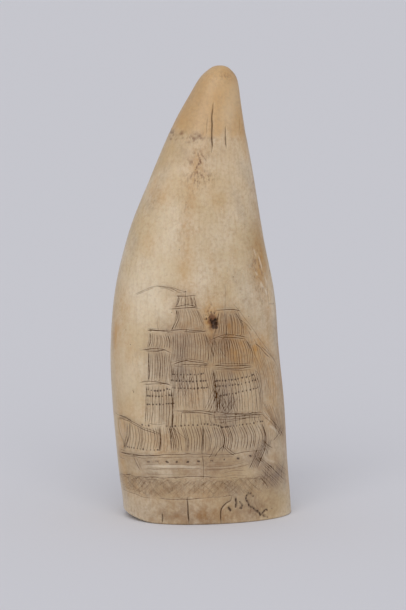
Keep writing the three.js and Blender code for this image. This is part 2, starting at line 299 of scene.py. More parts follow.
# The ship, seen on the face in mm, its places written as across from the middle and up from the root in turn.
# A sail has its head line, its foot line, the space between its cuts, how far its left and right sides bow
# out, and its strength. A patch of shade has its head line, foot line, spacing and strength. Yards and reefs
# are places alone, and any other line is its places and then its strength.
ship = {
    "sails": (
        # Mizzen
        ((-16.8, 63.9, -10.6, 63.7), (-17.5, 59.3, -9.9, 59.1), 0.95, 0.2, 0.4, 0.6),
        ((-17.1, 57.6, -13.5, 58.4, -10.3, 57.5), (-17.5, 48, -13.5, 48.2, -9.6, 47.3), 1, 0.1, 0.3, 0.55),
        ((-17.8, 46.7, -13.5, 46.9, -9.6, 46.3), (-18.2, 34, -13.6, 33.6, -9.3, 33), 1, 0.1, 0.3, 0.62),
        # Main
        ((-7.3, 76.1, -2.4, 76.1), (-8, 73.2, -1.5, 72.8), 1.2, -0.2, 0.2, 0.6),
        ((-8, 71.9, -4.7, 72.5, -1.1, 71.8), (-9.6, 65.4, -3.7, 65.7, 1.2, 65.2), 0.85, 0.5, 0.5, 0.36),
        ((-9.3, 64.4, -3.7, 64.4, 1.5, 64.2), (-9.6, 54.9, -3.7, 55.5, 2.5, 54.3), 0.95, 0.2, 0.5, 0.5),
        ((-9.3, 53.2, -3.7, 53.5, 3.8, 53), (-9.3, 38.7, -2.1, 38.9, 5.4, 38), 1, 0.1, 0.4, 0.55),
        ((-10.6, 33.3, -2.1, 33.6, 6.4, 33), (-8.7, 24.9, -1.1, 24.6, 7.1, 24.2), 1.05, 0.3, 1, 0.66),
        # Fore
        ((5.7, 70.6, 12, 70.2), (4.4, 63.4, 13.9, 62.5), 1, 0, 0.7, 0.66),
        ((3.8, 61.5, 8.7, 62.2, 15.3, 61.1), (2.8, 54, 10, 53, 17.3, 52.3), 1, -0.1, 0.6, 0.62),
        ((3.4, 52.3, 10, 51.6, 17.6, 51.3), (4.8, 38, 12, 36.9, 19.9, 36.8), 1.05, 0.2, 0.8, 0.64),
        ((6.4, 33.3, 12.7, 33.2, 20, 33.1), (7.1, 24.6, 13.7, 24.8, 21, 23.9), 1.1, 1, 1.1, 0.78),
        # Spanker
        ((-25.2, 34, -19.8, 32.9, -13.9, 33), (-25.6, 23.9, -19.9, 25, -13.6, 25.1), 1, 0.6, 0.6, 0.6),
        ((-13.6, 33.2, -9.6, 33.2), (-13.6, 24.8, -9, 24.9), 1, 0.2, 0.3, 0.55),
        # Jibs
        ((15.9, 61, 19.9, 57.3, 24.3, 52.2), (19.9, 41.4, 22.6, 39.7, 25.7, 38), 1, 0.6, 1, 0.34),
        ((12, 69.2, 14.6, 65.8, 17.9, 60.8), (14.6, 62.1, 16.6, 59.6, 19.9, 55.3), 1.2, 0.2, 0.3, 0.26),
        ((20.3, 40.1, 23.3, 38.6, 26.4, 37.8), (24.7, 30.6, 26.4, 28.2, 27.8, 26.3), 1, 0.1, 0.2, 0.42),
        ((20.6, 33.7, 24.3, 27.7), (21.3, 25.2, 24.3, 24.7), 1, 0.1, 0.1, 0.3),
    ),
    # Denser crossed hatching where the sails of two masts overlap
    "shade": (
        ((5, 43.3, 10.6, 43.1), (8, 37.3, 12, 37.3), 0.75, 0.5),
        ((7.6, 43.5, 12.6, 42.7), (4, 37.1, 9, 37.1), 0.8, 0.45),
        ((2, 47.7, 6, 47.7), (5.6, 38.7, 8.4, 38.7), 0.8, 0.3),
        ((-8.4, 60.7, -5, 60.7), (-8.2, 48.7, -4.6, 48.7), 0.8, 0.4),
        ((-8.6, 50.7, -5.4, 50.7), (-5.2, 42.7, -2.4, 42.7), 1, 0.4),
        ((-5.4, 50.7, -2.2, 50.7), (-8.6, 42.7, -5.6, 42.7), 1, 0.4),
        ((4.6, 46.6, 8.2, 46), (1.2, 38.6, 4.8, 38), 0.8, 0.6),
        ((5.6, 36.5, 19.8, 35.9), (5.8, 33.3, 19.8, 33.5), 0.8, 0.6),
        ((-9.4, 37.9, 4.4, 37.3), (-9.9, 33.5, 5.4, 33.7), 0.9, 0.6),
        ((-15.6, 57.9, -11, 57.7), (-15, 48.7, -12, 48.7), 0.9, 0.35),
        ((1, 63.3, 5.4, 62.1), (4, 56.1, 8, 55.5), 0.9, 0.4),
    ),
    # The carved bow and the shadowed swell under it
    "bow": (
        ((20.4, 27.6, 23.4, 27), (19.4, 22.4, 21.8, 21.6), 0.7, 0.62),
        ((19.2, 25.6, 20.8, 27.6), (22.2, 22.2, 24, 24.6), 0.55, 0.55),
        ((18.4, 24.4, 21.6, 24.6), (15.8, 18.2, 18.6, 18), 0.65, 0.75),
        ((16.6, 23, 18.6, 24.6), (18.6, 18.4, 21, 21), 0.6, 0.5),
        ((18, 21.2, 19.6, 21.8), (22.6, 16.4, 24.2, 17.4), 0.5, 0.6),
        ((24.2, 31, 26.2, 30.4), (25, 27.4, 27.2, 27), 0.8, 0.5),
    ),
    "swell": (
        ((19.6, 14.2, 20.4, 18.4, 25.6, 18.8), (22.2, 10.8, 26.6, 11, 28.6, 15), 0.68, 0.75),
        ((21.4, 18.6, 27.6, 18.2), (20.6, 12.2, 26.8, 11.6), 0.9, 0.5),
    ),
    "yards": (
        (-17.4, 64.8, -15.8, 65.1, -9.6, 64.6), (-16.8, 65.3, -14.2, 65, -10.6, 65.2),
        (-19.4, 58.3, -14.8, 59.1, -9.9, 58), (-18.1, 58.1, -14.2, 58.3, -11.6, 58.7),
        (-19.8, 47.6, -14.9, 48.1, -9.6, 47), (-18.5, 47.1, -13.9, 47.4, -10.3, 47.5),
        (-8, 76.4, -5, 76.2, -1.8, 76.4), (-10.1, 72.1, -5.4, 72.5, -0.6, 72.2),
        (-8.6, 72.7, -4.7, 73.6, -1.5, 72.7), (-9.9, 65, -5, 65.3, 0.8, 65),
        (-5.7, 64.8, -1.8, 64.6, 1.8, 64.7), (-9.1, 54, -4.7, 55, 2.1, 54.1),
        (-6.4, 53.9, -2.1, 53.9, 2.8, 53.5), (-8.3, 38.5, -1.8, 38.5, 4.8, 37.6),
        (-6.4, 37.8, -0.5, 37.9, 4.1, 36.9), (4.7, 71.3, 8.7, 71.4, 12.8, 71),
        (3.4, 62, 8, 63.3, 12, 62.6, 15.1, 61.9), (5.7, 62.6, 10.6, 62, 14.3, 61.6),
        (4.1, 53.3, 10.7, 52.8, 16.6, 52.5), (5.1, 52.5, 11.3, 51.8, 16.9, 51.8),
        (2.5, 38.2, 10, 37, 20.3, 36.5), (3.8, 36.1, 12.6, 36, 20.6, 35.8),
    ),
    "reefs": (
        (-17.8, 45.4, -14.2, 45, -10.3, 45.8), (-17.5, 43.2, -13.6, 43.3, -9.6, 43.8),
        (-17.5, 40.4, -12.9, 40.6, -9, 41), (-9.3, 50.7, -4.4, 50.4, 0.8, 50.8),
        (-9.6, 48.6, -4.1, 48.2, 1.5, 48.4), (-9, 46.3, -3.7, 45.9, 1.8, 46.1),
        (4.8, 48.1, 10.7, 48.3, 17.6, 49.3), (5.1, 46.3, 11.3, 46.5, 18.6, 47.6),
        (6.1, 43.1, 12, 43.8, 18.9, 44.9), (-11.3, 33.3, -6.4, 33.5, 1.2, 33.9, 6.4, 33.2),
        (6.7, 32.6, 12.7, 33, 20.3, 33.5), (-24.2, 25.2, -19.5, 25.1, -13.6, 25.3),
        (-19.2, 33.4, -17.2, 33.3),
    ),
    "lines": (
        (-14.2, 68.6, -14, 65.3, 0.5), (-14, 64, -13.5, 48.9, 0.35), (-13.5, 46.5, -13.4, 34.2, 0.35),
        (-5.2, 78.4, -5, 72.2, 0.5), (-4.9, 71.6, -4.4, 55.5, 0.2), (-1.3, 50.8, -1.2, 43.6, 0.75),
        (7.8, 79.6, 7.9, 70.8, 0.3), (7.9, 70.8, 8.1, 62.9, 0.6), (7.7, 62.3, 7.9, 54.4, 0.75),
        (8.5, 62.3, 8.7, 57.6, 0.7), (9.2, 61.9, 9.3, 58.3, 0.6), (7, 62, 7.2, 56.4, 0.45),
        (-7.6, 76.1, -7.2, 74.8, -8.1, 73, 0.5), (-2.2, 76.1, -2.2, 74.4, -1.5, 72.9, 0.5),
        (-8.2, 71.9, -7.8, 69.3, -9.6, 65.2, 0.7), (-7.5, 71.6, -7.1, 69, -8.6, 65.7, 0.5),
        (-1, 71.8, -0.3, 69.2, 1.5, 65.8, 0.3), (-16.6, 64.2, -16.3, 61.6, -17.3, 59.1, 0.5),
        (-10.4, 64.4, -9.7, 61.8, -9.4, 59.1, 0.4), (-17, 58, -17.1, 53.4, -17.3, 48.1, 0.6),
        (-16.4, 57.7, -16.7, 53.4, -16.8, 48.4, 0.45), (-9.5, 57.8, -9.4, 52.9, -9.3, 47.6, 0.2),
        (-17.9, 46.7, -18, 40.7, -18.2, 34.3, 0.4), (12.1, 70.5, 13.3, 67.8, 13.7, 62.9, 0.2),
        (12.8, 67.9, 14.9, 66.1, 16.6, 63.9, 0.5), (15.4, 61.7, 16.8, 57.7, 17.3, 53, 0.3),
        (17.5, 51, 19.6, 47.4, 20.3, 37.1, 0.4), (5.6, 70.9, 5.2, 67, 4.4, 63.4, 0.2),
        (4, 63.8, 4.2, 60.2, 2.5, 61.9, 0.35), (-9.4, 53.6, -9.1, 45, -9.5, 38.7, 0.15),
        (20.2, 32.8, 21.3, 28.2, 21.2, 23.9, 0.5),
        (10, 74, 15.3, 67, 19.9, 60.2, 24.7, 52.1, 26.2, 45.7, 27.1, 37.8, 0.4),
        (17.9, 59.5, 20.3, 57.2, 22.6, 54.3, 0.85), (19.9, 58.3, 22.6, 55.5, 24.7, 52.1, 0.6),
        (12.6, 64.6, 18.6, 54.1, 22.6, 43.7, 25, 34.9, 0.3), (19.9, 36.1, 23.3, 32.3, 26.4, 27.8, 0.65),
        (20.6, 36.8, 24.3, 32.4, 27.4, 27.1, 0.55), (26.4, 30.8, 25.7, 28.4, 24, 26.4, 0.8),
        (27.4, 29.8, 26, 27.3, 0.6), (-29, 36.3, -27.2, 35.4, -24.8, 35.3, 0.4),
        (-26.9, 35.3, -24.8, 35.1, -22.2, 33.9, -19.2, 32.7, 0.95),
        (-26.5, 34.7, -23.5, 33.9, -19.8, 32.3, -14.2, 30.6, 0.7),
        (-19.2, 32.6, -16.2, 31.7, -13.6, 30.7, 0.5), (-26.9, 34.3, -26.1, 29.3, -25.2, 24.4, 0.4),
        (-23.2, 33.4, -23.7, 29.2, -25.4, 24, 0.4), (-25.5, 34.3, -25.2, 29.6, -25.5, 24.7, 0.55),
        (-24.2, 33.9, -24.4, 29.1, -25.6, 24.3, 0.55),
        (-26.6, 22.7, -22.2, 23, -18.2, 23, -14.3, 23.4, 0.75), (-26.6, 23.7, -24.9, 23.6, 0.6),
        (-11.3, 33.3, -10.2, 30, -9.4, 25.9, 0.5), (-10.6, 33, -9.5, 29.6, 0.3),
        (-9.6, 33.3, -7.4, 31.3, -4.9, 29.1, 0.5), (7.6, 26, 9, 24.4, 10.9, 23, 0.8),
        (7.9, 26.3, 9.7, 24.7, 11.2, 23.3, 0.6), (4.4, 26, 3.5, 24.4, 2.5, 22.4, 0.5),
        (7.4, 26.6, 5.7, 24.6, 4.6, 22.7, 0.6), (-16.9, 34, -11.6, 34.1, 0.5),
        (5.4, 34.2, 11, 34.6, 16.8, 35.7, 0.55), (4.6, 35.4, 12, 35.1, 20, 35.2, 0.5),
        (6.2, 37, 13, 36.5, 19, 36.1, 0.5), (-8.8, 54.8, -4.7, 55.7, 1.6, 54.8, 0.5),
        (-8.4, 53.3, -3.4, 53.2, 2.4, 52.8, 0.45), (4.4, 52.1, 10, 51.6, 16.4, 51, 0.5),
        (5, 54.2, 10, 53.6, 15.8, 53.2, 0.45),
    ),
    "hull": (
        (-27, 22.7, -23.2, 22.7, -16.9, 23.2, -9.7, 23.8, -0.2, 24, 8.1, 23.4, 16.6, 24, 20, 23.8, 0.8),
        (-26.3, 21.9, -22.2, 22.2, -16.2, 22.4, -9.7, 22.9, 1.5, 22.9, 11.3, 22.6, 0.5),
        (-22.2, 22.1, -21.2, 20, -20.1, 18.1, 0.75), (-21.4, 22.1, -20.4, 20.2, -19.4, 18.4, 0.35),
        (-27, 23.4, -27.2, 21.1, -24.9, 20.6, 0.45), (-18.9, 19.9, -10.3, 20.5, 0.5, 20.3, 0.35),
        (-18.2, 18.5, -9.7, 19.1, 0.8, 18.9, 0.45), (1.2, 19.8, 7.7, 19.6, 14.7, 20.5, 0.4),
        (1.5, 18.6, 8.7, 18.5, 16, 19.7, 0.5), (6.7, 17.1, 10.7, 17.8, 14, 17.7, 0.4),
        (7.4, 16.1, 11.4, 16.4, 15.3, 16, 0.4), (-18.2, 16.8, -11.6, 16.9, -3.8, 17.1, 0.3),
        (1.2, 20.9, 12.7, 21, 0.25),
    ),
    "pennant": (
        (-21.4, 76.6, -18.1, 78.3, -15.5, 79.3, -13.5, 79.5, 0.55),
        (-21.2, 76.2, -17.8, 77.8, -15.1, 79, 0.4), (-14.2, 79.5, -11.6, 79, -9.3, 78.5, -7.6, 77.6, 0.7),
        (-12.9, 79.6, -9.6, 79.2, -7, 78.2, -4.7, 77.7, 0.5), (-13.5, 79, -10.6, 78.5, -8.6, 77.7, 0.4),
        (-7.6, 77.5, -6, 77.3, -4.7, 77.9, 0.5), (-30.9, 73.7, -28.9, 73, 0.2),
    ),
    "water": (
        (-27.2, 13.8, -24.3, 15.7, -21.6, 15.5, -16.9, 15.9, -12.3, 15.9, -3.8, 16.5, 1.5, 16.3, 8.1, 15.8,
         0.8),
        (-24.3, 15.1, -20.3, 15, -13.6, 15.3, 0.4), (9.4, 15.4, 14.7, 15.1, 20, 14.2, 0.45),
        (-25.8, 9, -22.3, 9.2, -19.6, 8.5, -16.3, 8.6, 0.5),
        (-13.6, 8.9, -8.4, 8.7, -3.8, 8.7, 1.5, 9.1, 0.75), (1.5, 9.3, 6.8, 9.4, 10.7, 9.7, 0.55),
        (-7.7, 9.5, -4.8, 8.9, 0.4), (-25, 10.7, -20.3, 10.5, -17, 9.2, 0.3),
    ),
    "ports": (
        (-17.4, 21), (-14.5, 21.3), (-11.2, 21.3), (-8, 21.4), (-4.4, 21.3), (-0.8, 21.4), (3.5, 21.6),
        (7.6, 21.8), (12.2, 21.8), (16.1, 22.3),
    ),
}


# How the graver was held: half widths of the lines in mm, and shares of the ship's own spacing and strength
graver = {
    "sailWidth": 0.29,
    "sailSpacing": 0.8,
    "sailStrength": 1.08,
    "sailUneven": 0.22,        # how unevenly the cuts are spaced
    "shadeWidth": 0.26,
    "shadeSpacing": 0.85,
    "shadeStrength": 0.75,
    "shadeUneven": 0.6,
    "shadeBow": (0.2, -0.2),
    "yardWidth": 0.26,
    "lineWidth": 0.25,
    "lineStrength": 1.1,
    "seaPatches": 14,
    "seaEnds": (-25.8, 21.0),
    "seaTop": 15.5,
    "seaFoot": 9.2,
    "seaWidth": 0.27,
    "seaSpacing": 0.7,         # mm
    "seaStrengths": (0.14, 0.12),
    "seaUneven": 0.9,
    "crestWidth": 0.26,
    "crestStrength": 0.3,
    "rippleWidth": 0.28,
    "rippleSpacing": 0.8,      # mm
    "rippleStrength": 0.2,
}


# The sea: patches of short cuts at changing slants between the water line and the border below. Each patch
# is crossed by cuts that lean right and left, every third has upright ripples too, and each has its crest.
def seaCuts():
    cuts = []
    edges = np.linspace(*graver["seaEnds"], graver["seaPatches"] + 1)
    for i, (left, right) in enumerate(zip(edges, edges[1:])):
        middle = (left + right) / 2
        lean = engraver.uniform(1.6, 3.4)
        top = graver["seaTop"] + engraver.uniform(-0.5, 0.3)
        foot = graver["seaFoot"] + engraver.uniform(-0.5, 1.4)
        for side, strength in zip((lean, -lean), graver["seaStrengths"]):
            strength *= engraver.uniform(0.5, 1.4)
            head = (left + side - 0.8, top, middle + side, top + 0.1, right + side + 0.8, top - 0.2)
            end = (left - side - 0.8, foot, middle - side, foot, right - side + 0.8, foot + 0.3)
            bend = engraver.uniform(-1.2, 1.2)
            cuts += hatching(head, end, graver["seaSpacing"], (bend, -bend), strength,
                             graver["seaWidth"], graver["seaUneven"])
        crest = (left - 0.5, top - 1.8, middle, top - 0.5, right + 0.5, top - 2.0)
        cuts.append(cut(crest, graver["crestWidth"], graver["crestStrength"]))
        if i % 3 == 1:
            head, end = (left, top - 1, right, top - 1.4), (left, foot + 1, right, foot + 0.6)
            cuts += hatching(head, end, graver["rippleSpacing"], (0.3, -0.3), graver["rippleStrength"],
                             graver["rippleWidth"])
    return cuts


# Every stroke of the graver
def shipCuts():
    cuts = []
    for head, foot, spacing, leftBow, rightBow, strength in ship["sails"]:
        cuts += hatching(head, foot, graver["sailSpacing"] * spacing, (leftBow, rightBow),
                         graver["sailStrength"] * strength, graver["sailWidth"], graver["sailUneven"])
    for head, foot, spacing, strength in ship["shade"] + ship["bow"] + ship["swell"]:
        cuts += hatching(head, foot, graver["shadeSpacing"] * spacing, graver["shadeBow"],
                         graver["shadeStrength"] * strength, graver["shadeWidth"], graver["shadeUneven"])
    cuts += [cut(yard, graver["yardWidth"], 1.0) for yard in ship["yards"]]
    for part in ("lines", "hull", "pennant", "water"):
        for *places, strength in ship[part]:
            cuts.append(cut(places, graver["lineWidth"], graver["lineStrength"] * strength))
    return cuts + seaCuts()


# Age cracks, seen on the face in mm, with their half width and depth; eaten lines low on the right; specks
ageCracks = (
    ((-4.5, 9.1, -4.3, 6.4, -4.2, 4, -3.8, 0.6), 0.17, 1), ((-12.9, 3.7, -12.9, 2.4, -12.9, 0.3), 0.17, 0.9),
    ((6.5, 0.3, 6.5, 3.7, 7, 5.5, 8.4, 7.1, 9.7, 7.9, 10, 9), 0.16, 0.95),
    ((0.6, 33.2, 0.8, 30.2, 0.5, 26.9, 0.1, 24.5), 0.15, 0.85),
    ((0.5, 23.8, 0.9, 20.1, 0.8, 15.1), 0.12, 0.45),
    ((4, 138.1, 3.8, 132.3, 3.6, 126.5, 3.6, 122.7), 0.17, 0.95),
    ((8.2, 130.6, 8.3, 127, 8.5, 123.8), 0.15, 0.75), ((12.9, 133.1, 13.3, 127.3), 0.13, 0.3),
    ((2, 133.6, 1.8, 128.5), 0.13, 0.25), ((22, 78.5, 22.2, 75.2, 22.6, 71.9), 0.13, 0.45),
    ((22.6, 71.8, 24.3, 71.4), 0.13, 0.35), ((22.9, 82.6, 23.1, 78.8), 0.12, 0.3),
)
wormLines = (
    (17.2, 8.7, 16.5, 9.8, 15.5, 9.9, 14.9, 8.8, 14.9, 7.7, 15.6, 6.6, 16, 5.4, 17.2, 4.8, 18.4, 3.8,
     19.4, 3.1, 19.7, 2, 20.8, 1.4, 22.2, 1.1),
    (12.9, 7, 13.7, 5.9, 13.5, 4.9, 12.9, 5.1), (11.6, 8.4, 11.4, 5.7), (9.2, 5.6, 9.7, 4.4),
    (20.4, 2.8, 22, 3.3), (-27.4, 34, -26.8, 30.6, -25.9, 27, -25.3, 24.2),
    (-23.3, 33.4, -23.6, 30, -24.3, 27.2, -25.2, 24.4), (-27.5, 33.9, -25.3, 35, -22.8, 34),
)
specks = (
    (10.6, 82), (14.9, 78), (15.8, 68.7), (-16.1, 109), (-9.4, 70.9), (-9.7, 69.3), (-22.4, 44.5),
    (-22.1, 44), (23.7, 3.3), (23.4, 3.5), (-1.5, 121.1), (-0.8, 119.5), (-1.8, 117), (-0.5, 115),
    (0.5, 112.8), (1.5, 112.4), (2.1, 113.4), (-4.7, 105.7), (-3.7, 102.9), (-4.1, 97.7), (-3.1, 95.8),
    (-14.9, 119), (-24.7, 64.5), (-23.1, 59.8), (9.1, 5.6), (3.5, 3.5), (8.7, 83.8), (-19.4, 87),
    (14.6, 98.5), (16.2, 93.5), (18.6, 90), (17.2, 86.3), (18.9, 83.5), (20.3, 86.2), (-7, 91.3),
    (6.7, 103.9), (1.2, 68.5), (1.6, 69.8),
)

# Scraped pale lines: the wale, its shine below, and nicks on the right
paleLines = (
    ((-17.9, 19.6, -9.3, 19.8, 0.5, 19.5), 0.34, 0.75), ((-17.6, 18.1, -8.7, 18.3), 0.26, 0.35),
    ((-13.6, 17.3, -11, 17, -8.4, 17.4), 0.5, 0.4), ((1.2, 19.2, 7.7, 19.2, 14.3, 20), 0.22, 0.3),
    ((19.6, 79.4, 20.6, 77.3), 0.3, 1), ((21.2, 77.1, 21.9, 75.2), 0.28, 0.9),
    ((17.9, 83, 18.6, 81.6), 0.22, 0.6), ((17.4, 90.4, 18.2, 87.8), 0.22, 0.6),
    ((18.8, 88.6, 20, 84.8, 20.4, 83.2), 0.24, 0.8), ((20.9, 81.8, 22, 78.2), 0.24, 0.7),
    ((19.9, 37.2, 22.4, 34.2, 21.4, 32.4), 0.26, 0.6), ((21.8, 32.2, 24.2, 30.2, 25.8, 27.8), 0.26, 0.6),
    ((16.4, 26.7, 17.8, 24.2), 0.22, 0.5), ((20.2, 23.2, 21.8, 20.4, 25.2, 18.8), 0.22, 0.45),
)

# The decayed spot between the masts: its middle, half sizes and depth, and the deeper holes in it
decaySpot = {
    "middle": (3.9, 67.8),
    "reach": (2.1, 3.0),
    "depth": 1.1,
    "holes": (
        (1.8, 68.7, 0.3), (2.7, 69.2, 0.2), (4, 67.4, 0.6), (4.9, 68.2, 0.5), (5.1, 66.9, 0.6),
        (4.2, 66, 0.6), (5, 65.8, 0.5), (3.3, 70.8, 0.22), (4.4, 70.6, 0.2), (2.4, 70.2, 0.16),
        (3.4, 68.3, 0.3),
    ),
}

print("tooth: engraving")
onWall = kind[:, None] == 2
strokes = shipCuts()
pricks = [dots(row) for row in ship["reefs"]]
pricks += [dots([[x - 0.2, z], [x + 0.25, z]], 0.45, 0.32) for x, z in ship["ports"]]
pricks += [dots(line, 0.7, 0.3) for line in wormLines if line[0] > 0]
pricks += [dots([place, place], 1, 0.14) for place in specks]
pricks += [dots([hole[:2], hole[:2]], 1, hole[2]) for hole in decaySpot["holes"]]
paleCuts = [cut(places, width, strength, taper=0.3) for places, width, strength in paleLines]
crackCuts = [cut(places, width, strength, wobble=0.1, taper=0.2) for places, width, strength in ageCracks]
wormCuts = [cut(line, 0.2, 0.95 if line[0] > 0 else 0.62, wobble=0.25) for line in wormLines]
crisp = [np.column_stack([c[:, :2], 1.8 * c[:, 2], c[:, 3:]]) for c in crackCuts]

# The unrolled wall as a drawing sheet of small cells
sheetCell = 0.1
sheetLow = np.array([-80.0, -12.0])
sheetSize = (1640, 1600)                    # cells up, and cells round


# The cells up to this many away from the cell of each sample, one step at a time: their rows and columns,
# their squared distances from the samples in mm, and which of the samples have one on the sheet
def cellsNear(samples, reach):
    place = (samples[:, :2] - sheetLow) / sheetCell
    cell = np.round(place).astype(int)
    for up, right in np.ndindex(2 * reach + 1, 2 * reach + 1):
        column, row = cell[:, 0] + right - reach, cell[:, 1] + up - reach
        inside = (row >= 0) & (row < sheetSize[0]) & (column >= 0) & (column < sheetSize[1])
        away = ((column - place[:, 0]) ** 2 + (row - place[:, 1]) ** 2) * sheetCell**2
        yield (row[inside], column[inside]), away[inside], inside


# Each sample leaves a soft dot, strength * exp(-distance^2 / (2 width^2)), and the darkest one stays
def drawn(cuts, reach=8):
    sheet = np.zeros(sheetSize)
    samples = np.concatenate(cuts)
    for cells, away, inside in cellsNear(samples, reach):
        np.maximum.at(sheet, cells, samples[inside, 3] * np.exp(-away / (2 * samples[inside, 2] ** 2)))
    return sheet


# A sheet blurred by a bell curve of this reach in mm, by way of its Fourier transform
def blurred(sheet, reach):
    up = np.fft.fftfreq(sheet.shape[0], sheetCell)[:, None]
    right = np.fft.rfftfreq(sheet.shape[1], sheetCell)[None, :]
    filtered = np.fft.rfft2(sheet) * np.exp(-2 * (math.pi * reach) ** 2 * (up**2 + right**2))
    return np.fft.irfft2(filtered, sheet.shape)


# The value of a sheet at each grid point, blended between its four nearest cells
def readSheet(sheet):
    column = np.clip((around - sheetLow[0]) / sheetCell, 0, sheetSize[1] - 1.001)
    row = np.clip((path[:, None] - sheetLow[1]) / sheetCell, 0, sheetSize[0] - 1.001) + 0 * column
    left, low = column.astype(int), row.astype(int)
    right, up = column - left, row - low
    value = (sheet[low, left] * (1 - right) * (1 - up) + sheet[low, left + 1] * right * (1 - up)
             + sheet[low + 1, left] * (1 - right) * up + sheet[low + 1, left + 1] * right * up)
    return value * (kind[:, None] > 0)


# How far each grid point lies outside the nearest dot, in mm, up to 1
def beyondDots(spots, reach=13):
    sheet = np.ones(sheetSize)
    for cells, away, inside in cellsNear(spots, reach):
        np.minimum.at(sheet, cells, np.sqrt(away) - spots[inside, 2])
    return np.where(onWall, readSheet(sheet), 1)


# Deals the strokes out to six layers, so that the strokes of one layer keep half a millimetre or more apart.
# A stroke that fits into none goes where it crosses the fewest others.
def dealOut(cuts, layerCount=6, sheetCells=5):
    taken = np.zeros((layerCount, *(size // sheetCells + 2 for size in sheetSize)), bool)
    dealt = [[] for _ in taken]
    ring = np.array(list(np.ndindex(3, 3))) - 1
    for stroke in cuts:
        place = (stroke[:, :2] - sheetLow) / (sheetCells * sheetCell)
        place = np.unique(np.round(place).astype(int), axis=0)
        near = (place[:, None] + ring).reshape(-1, 2)
        layer = int(taken[:, near[:, 1], near[:, 0]].sum(axis=1).argmin())
        taken[layer, place[:, 1], place[:, 0]] = True
        dealt[layer].append(stroke)
    return dealt


# How each grid point lies to the nearest stroke of a layer: the distance to its side as a share of its half
# width, and the press of the graver there. The shader draws the line between grid points from these two.
def strokeField(cuts, reach=6):
    samples = np.concatenate(cuts)
    order = np.arange(len(samples))
    nearest = np.full(sheetSize, np.inf)
    for cells, away, inside in cellsNear(samples, reach):
        np.minimum.at(nearest, cells, np.round(away * 1e5) * 1e6 + order[inside])
    column = np.clip(np.round((around - sheetLow[0]) / sheetCell), 0, sheetSize[1] - 1).astype(int)
    row = np.clip(np.round((path[:, None] - sheetLow[1]) / sheetCell), 0, sheetSize[0] - 1).astype(int)
    key = nearest[row + 0 * column, column]
    found = np.isfinite(key) & onWall
    sample = samples[np.where(found, np.mod(np.where(found, key, 0), 1e6), 0).astype(int)]
    right, up = around - sample[..., 0], path[:, None] - sample[..., 1]
    side = right * sample[..., 5] - up * sample[..., 4]
    ahead = np.abs(right * sample[..., 4] + up * sample[..., 5])
    press = sample[..., 3] * easeBetween(0.55, 0.32, np.abs(side)) * easeBetween(0.45, 0.12, ahead) * found
    return np.where(found, side / sample[..., 2], 4.0), press


fields = [strokeField(layer) for layer in dealOut(strokes + crisp)]
sides = np.stack([side for side, _ in fields], axis=2)
presses = np.stack([press for _, press in fields], axis=2)
ink = (presses * np.maximum(0, 1 - sides**2) ** 2).max(axis=2)
pricked = beyondDots(np.concatenate(pricks))
fine = [np.column_stack([stroke[:, :2], np.full(len(stroke), 0.13), stroke[:, 3:]]) for stroke in strokes]
haze = readSheet(blurred(drawn(fine, 5), 1.1))
crack = readSheet(drawn(crackCuts)) * easeBetween(-0.1, 0.5, path)[:, None]
worm = readSheet(drawn(wormCuts))
scrapedAndLit = readSheet(drawn(paleCuts))


# How far the grid lies from a place on the face, across and up, each as a share of a reach
def awayFrom(x, z, reachAcross, reachUp):
    middle = unroll([(x, z)])[0]
    return (around - middle[0]) / reachAcross, (path[:, None] - middle[1]) / reachUp


# Soft patches on the wall: strength * exp(-(x / reach across)^2 - (z / reach up)^2) about their middles
def softPatches(patches):
    total = np.zeros(around.shape)
    for *place, strength in patches:
        across, up = awayFrom(*place)
        total += strength * np.exp(-across**2 - up**2)
    return total


